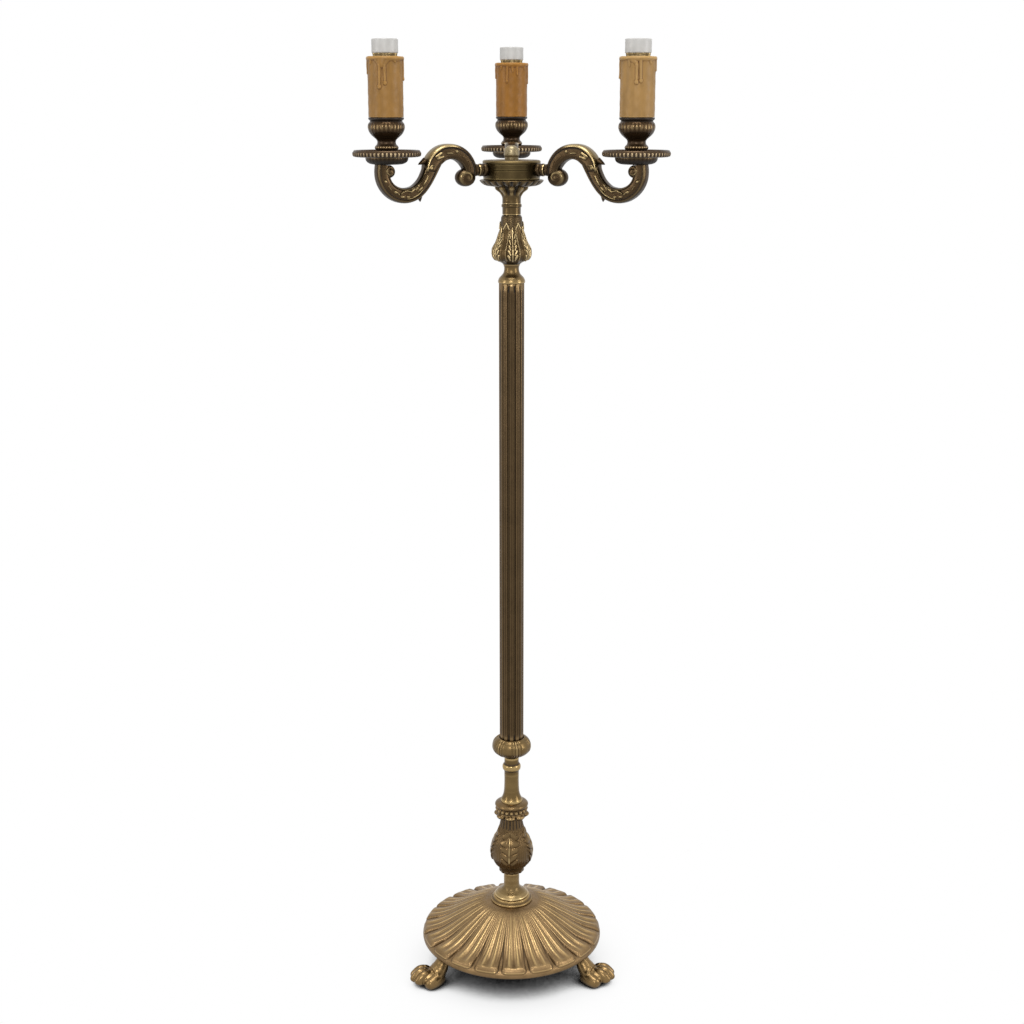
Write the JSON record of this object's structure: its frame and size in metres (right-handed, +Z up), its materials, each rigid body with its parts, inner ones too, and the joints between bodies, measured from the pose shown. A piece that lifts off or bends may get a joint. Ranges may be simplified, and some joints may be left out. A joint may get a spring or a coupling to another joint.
{
  "type": "floor lamp",
  "caption": "Standing lamp with candle lights on scrolled arms, a fluted tube and a round gadrooned base on paw feet.",
  "frame": {"origin": "on the floor, under the middle of the whole lamp's box; the column stands 51.5 mm in front of it", "axes": "+Z up the column, +Y from the two front arms towards the back arm, +X to the viewer's right"},
  "size_m": [0.4544, 0.4066, 1.4992],
  "materials": {
    "aged_brass": "antique brass with dark patina in the recesses",
    "dark_brass": "dark antique brass, rubbed bright on the ridges",
    "pale_brass": "smooth satin brass, slightly olive",
    "steel": "zinc plated",
    "candle": "ochre candle sleeve with satin sheen",
    "cap": "white porcelain, slightly glossy",
    "holder": "brown moulded phenolic",
    "block": "white moulded plastic"
  },
  "bodies": {
    "lamp": {"base_plate": "aged_brass", "paw_foot_back": "aged_brass", "paw_foot_left": "aged_brass", "paw_foot_right": "aged_brass", "foot_screw_back": "steel", "foot_screw_left": "steel", "foot_screw_right": "steel", "centre_rod": "steel", "base_washer": "steel", "base_nut": "steel", "base_collar": "aged_brass", "stem_foot": "aged_brass", "pear_baluster": "aged_brass", "petal_collar": "aged_brass", "spindle": "aged_brass", "melon_knop": "aged_brass", "fluted_tube": "dark_brass", "tube_cap": "aged_brass", "acanthus_baluster": "aged_brass", "upper_neck": "aged_brass", "leaf_calyx": "dark_brass", "hub_body": "pale_brass", "hub_lid": "pale_brass", "hub_nut": "steel", "finial_nut": "pale_brass", "terminal_block": "block", "arm_left": "aged_brass", "arm_ferrule_left": "aged_brass", "arm_nut_left": "steel", "under_bowl_left": "dark_brass", "drip_pan_left": "aged_brass", "candle_cup_left": "dark_brass", "holder_nipple_left": "steel", "holder_body_left": "holder", "screw_shell_left": "pale_brass", "holder_cap_left": "cap", "arm_right": "aged_brass", "arm_ferrule_right": "aged_brass", "arm_nut_right": "steel", "under_bowl_right": "dark_brass", "drip_pan_right": "aged_brass", "candle_cup_right": "dark_brass", "holder_nipple_right": "steel", "holder_body_right": "holder", "screw_shell_right": "pale_brass", "holder_cap_right": "cap", "arm_back": "aged_brass", "arm_ferrule_back": "aged_brass", "arm_nut_back": "steel", "under_bowl_back": "dark_brass", "drip_pan_back": "aged_brass", "candle_cup_back": "dark_brass", "holder_nipple_back": "steel", "holder_body_back": "holder", "screw_shell_back": "pale_brass", "holder_cap_back": "cap"},
    "sleeve_left": {"candle_sleeve_left": "candle"},
    "sleeve_right": {"candle_sleeve_right": "candle"},
    "sleeve_back": {"candle_sleeve_back": "candle"}
  },
  "joints": [
    {"name": "lift_sleeve_left", "type": "slide", "parent": "lamp", "child": "sleeve_left", "axis": [0, 0, 1], "range_m": [0, 0.12]},
    {"name": "lift_sleeve_right", "type": "slide", "parent": "lamp", "child": "sleeve_right", "axis": [0, 0, 1], "range_m": [0, 0.12]},
    {"name": "lift_sleeve_back", "type": "slide", "parent": "lamp", "child": "sleeve_back", "axis": [0, 0, 1], "range_m": [0, 0.12]}
  ]
}
